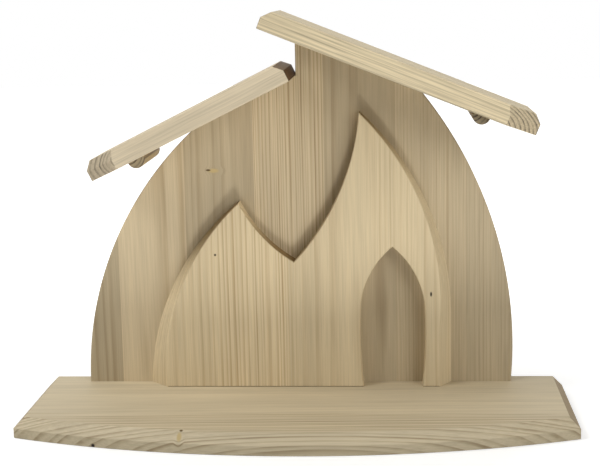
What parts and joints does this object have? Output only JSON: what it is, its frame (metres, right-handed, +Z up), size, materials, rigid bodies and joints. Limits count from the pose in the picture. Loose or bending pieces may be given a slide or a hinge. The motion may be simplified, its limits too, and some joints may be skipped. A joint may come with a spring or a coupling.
{
  "type": "nativity stable",
  "caption": "Open wooden stable for nativity figures: bowed base board, curved rear wall, twin-peaked panel with a pointed doorway, and sloping roof boards at two heights.",
  "frame": {"origin": "centre of the base's underside, in the plane it stands on", "axes": "+X to the viewer's right along the base, +Y to the rear where the wall stands, +Z up"},
  "size_m": [0.5, 0.18, 0.3701],
  "materials": {
    "base_softwood": "sanded, bare",
    "wall_softwood": "sanded, bare",
    "panel_softwood": "sanded, bare",
    "roof_softwood": "sanded, bare",
    "purlin_softwood": "sanded, bare",
    "dowel_beech": "turned, bare",
    "screw_steel": "zinc plated"
  },
  "bodies": {
    "root": {"base_stave_1": "base_softwood", "base_stave_2": "base_softwood", "base_stave_3": "base_softwood", "wall_stave_1": "wall_softwood", "wall_stave_2": "wall_softwood", "wall_stave_3": "wall_softwood", "wall_stave_4": "wall_softwood", "wall_stave_5": "wall_softwood", "wall_stave_6": "wall_softwood", "wall_stave_7": "wall_softwood", "panel_stave_1": "panel_softwood", "panel_stave_2": "panel_softwood", "panel_stave_3": "panel_softwood", "panel_stave_4": "panel_softwood", "left_roof_stave_1": "roof_softwood", "left_roof_stave_2": "roof_softwood", "right_roof_stave_1": "roof_softwood", "right_roof_stave_2": "roof_softwood", "left_purlin": "purlin_softwood", "right_purlin": "purlin_softwood", "left_roof_dowels": "dowel_beech", "right_roof_dowels": "dowel_beech", "wall_foot_screws": "screw_steel", "panel_foot_screws": "screw_steel", "panel_rear_screws": "screw_steel"}
  },
  "joints": []
}
